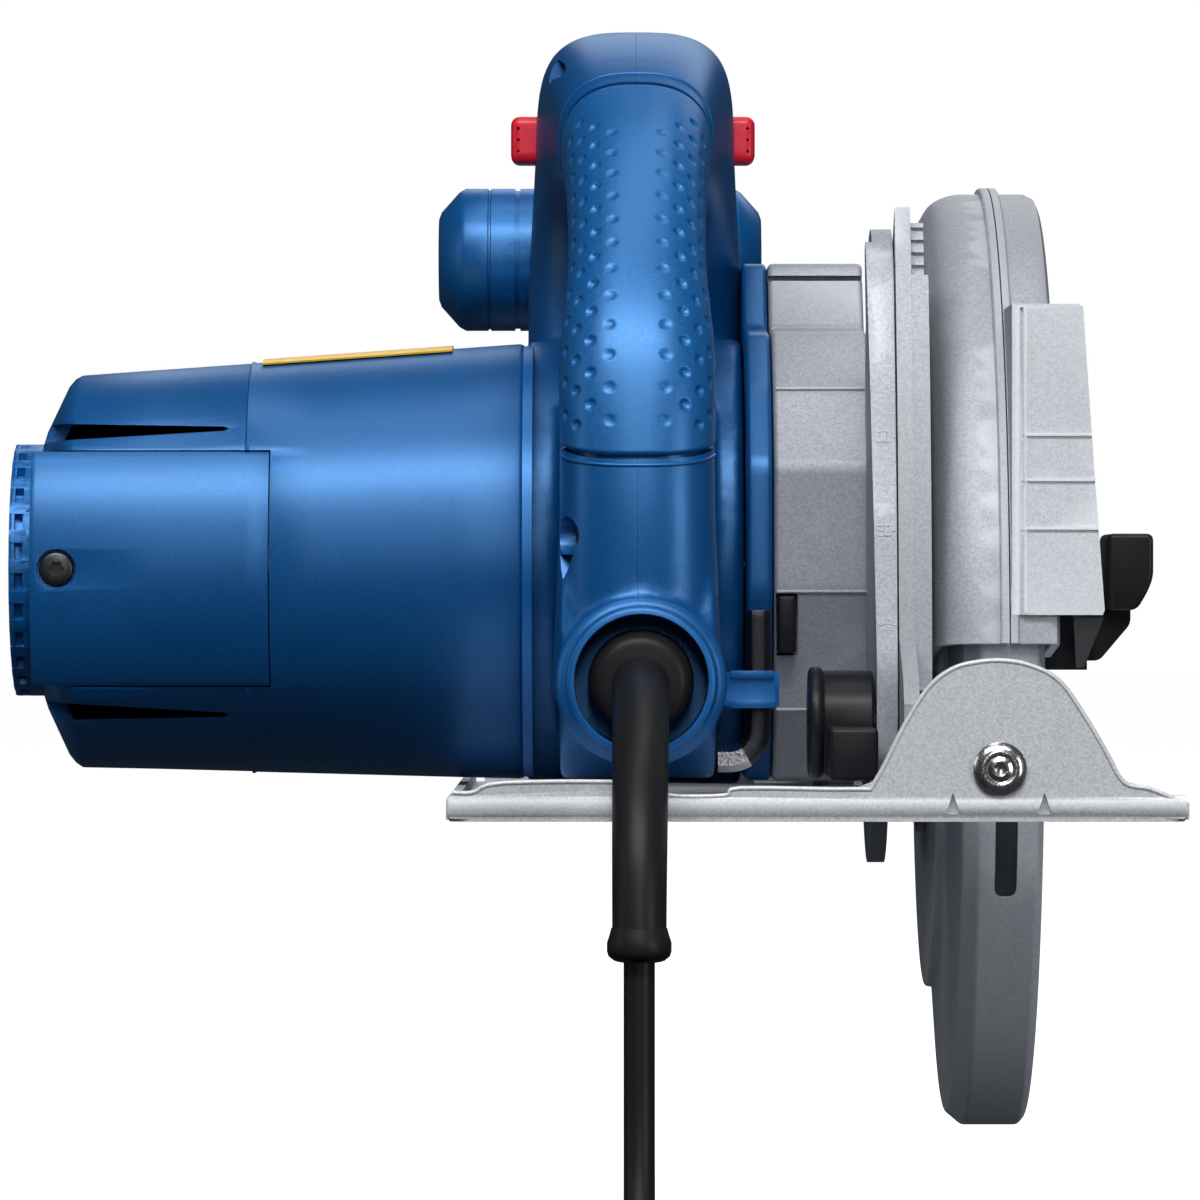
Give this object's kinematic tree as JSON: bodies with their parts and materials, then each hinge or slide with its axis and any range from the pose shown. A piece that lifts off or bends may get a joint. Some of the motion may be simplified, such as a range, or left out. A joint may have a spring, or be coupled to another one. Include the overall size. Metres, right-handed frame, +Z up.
{
  "type": "circular saw",
  "caption": "Corded hand-held circular saw with closed loop handle, transverse motor, sprung lower guard, tilting base plate and coiled mains cord.",
  "frame": {"origin": "on the sole of the base plate, level with the blade's axis", "axes": "+X from the motor towards the blade, +Y in the cutting direction, +Z up from the sole"},
  "size_m": [0.2642, 0.447, 0.2764],
  "materials": {
    "blue_plastic": "fine grained satin",
    "soft_blue": "soft dimpled overmould",
    "black_plastic": "fine grained satin",
    "black_rubber": "satin",
    "red_plastic": "semi gloss",
    "yellow_label": "printed film",
    "cast_aluminium": "blasted die casting",
    "sheet_steel": "zinc plated sheet",
    "bright_steel": "polished",
    "dark_steel": "blackened",
    "copper": "drawn copper",
    "carbon": "pressed carbon",
    "brass": "drawn"
  },
  "bodies": {
    "saw": {"motor_housing": "blue_plastic", "end_cap": "blue_plastic", "brush_cover": "blue_plastic", "brush_cover_screw": "dark_steel", "rating_label": "yellow_label", "stator": "dark_steel", "brush_holder_rear": "brass", "brush_holder_front": "brass", "carbon_brush_rear": "carbon", "carbon_brush_front": "carbon", "armature_rear_bearing": "bright_steel", "armature_front_bearing": "bright_steel", "spindle_rear_bearing": "bright_steel", "spindle_front_bearing": "bright_steel", "handle_shell_left": "blue_plastic", "handle_shell_right": "blue_plastic", "soft_grip": "soft_blue", "handle_screw_top": "dark_steel", "handle_screw_middle": "dark_steel", "handle_screw_lower": "dark_steel", "switch_body": "black_plastic", "front_handle": "blue_plastic", "gearbox_flange": "blue_plastic", "gear_housing": "cast_aluminium", "upper_guard": "cast_aluminium", "guard_cover": "cast_aluminium", "guard_spring": "bright_steel", "depth_clamp_bolt": "dark_steel", "cord_gland_ball": "black_rubber", "cord_sleeve": "black_rubber", "power_cord": "black_rubber", "cord_coil": "black_rubber", "mains_plug": "black_plastic"},
    "armature": {"armature_core": "copper", "commutator": "copper", "armature_shaft": "bright_steel", "cooling_fan": "black_plastic"},
    "spindle": {"spindle": "bright_steel", "drive_gear": "bright_steel", "inner_flange": "dark_steel", "saw_blade": "bright_steel", "outer_flange": "dark_steel", "blade_bolt": "dark_steel"},
    "lower_guard": {"lower_guard": "cast_aluminium", "retract_lever": "black_plastic"},
    "trigger": {"trigger": "black_plastic"},
    "lock_off_button": {"lock_off_button": "red_plastic"},
    "spindle_lock": {"spindle_lock_button": "black_plastic"},
    "hex_key": {"hex_key": "dark_steel"},
    "depth_clamp": {"depth_clamp_lever": "black_plastic"},
    "bevel_frame": {"depth_guide_arm": "sheet_steel", "front_pivot_bracket": "sheet_steel", "front_pivot_pin": "bright_steel"},
    "bevel_wing_screw": {"bevel_wing_screw": "dark_steel"},
    "base": {"base_plate": "sheet_steel", "rear_pivot_rivet": "bright_steel", "front_pivot_rivet": "bright_steel"},
    "fence_screw": {"fence_screw": "black_plastic"}
  },
  "joints": [
    {"name": "spindle_spin", "type": "hinge", "parent": "saw", "child": "spindle", "pos_m": [0.06, 0, 0.028], "axis": [1, 0, 0], "continuous": true},
    {"name": "armature_spin", "type": "hinge", "parent": "saw", "child": "armature", "pos_m": [-0.05, 0.015, 0.053], "axis": [1, 0, 0], "continuous": true},
    {"name": "guard_swing", "type": "hinge", "parent": "saw", "child": "lower_guard", "pos_m": [0.0741, 0, 0.028], "axis": [-1, 0, 0], "range_deg": [0, 100], "stiffness_Nm_per_rad": 0.25, "springref_deg": -34.38},
    {"name": "trigger_pull", "type": "hinge", "parent": "saw", "child": "trigger", "pos_m": [0.008, 0.012, 0.142], "axis": [-1, 0, 0], "range_deg": [0, 9], "stiffness_Nm_per_rad": 0.6, "springref_deg": -11.46},
    {"name": "lock_off_slide", "type": "slide", "parent": "saw", "child": "lock_off_button", "axis": [1, 0, 0], "range_m": [-0.0025, 0.0025], "stiffness_N_per_m": 500},
    {"name": "spindle_lock_press", "type": "slide", "parent": "saw", "child": "spindle_lock", "axis": [0, 1, 0], "range_m": [0, 0.003], "stiffness_N_per_m": 500, "springref_m": -0.001},
    {"name": "hex_key_pull", "type": "slide", "parent": "saw", "child": "hex_key", "axis": [0, -1, 0], "range_m": [0, 0.02]},
    {"name": "depth_clamp_turn", "type": "hinge", "parent": "saw", "child": "depth_clamp", "pos_m": [0.052, -0.1, 0.02], "axis": [-1, 0, 0], "range_deg": [0, 70]},
    {"name": "depth_swing", "type": "hinge", "parent": "saw", "child": "bevel_frame", "pos_m": [0.05, 0.125, 0.02], "axis": [1, 0, 0], "range_deg": [0, 26]},
    {"name": "bevel_tilt", "type": "hinge", "parent": "bevel_frame", "child": "base", "pos_m": [0.0833, 0, 0.011], "axis": [0, -1, 0], "range_deg": [0, 45]},
    {"name": "bevel_screw_turn", "type": "hinge", "parent": "bevel_frame", "child": "bevel_wing_screw", "pos_m": [0.06329, 0.145, 0.03101], "axis": [0, 1, 0], "range_deg": [0, 180]},
    {"name": "fence_screw_turn", "type": "hinge", "parent": "base", "child": "fence_screw", "pos_m": [0.022, 0.128, 0.01], "axis": [0, 0, 1], "range_deg": [0, 180]}
  ],
  "couplings": [
    {"joint": "armature_spin", "follows": "spindle_spin", "ratio": -5.4444}
  ]
}
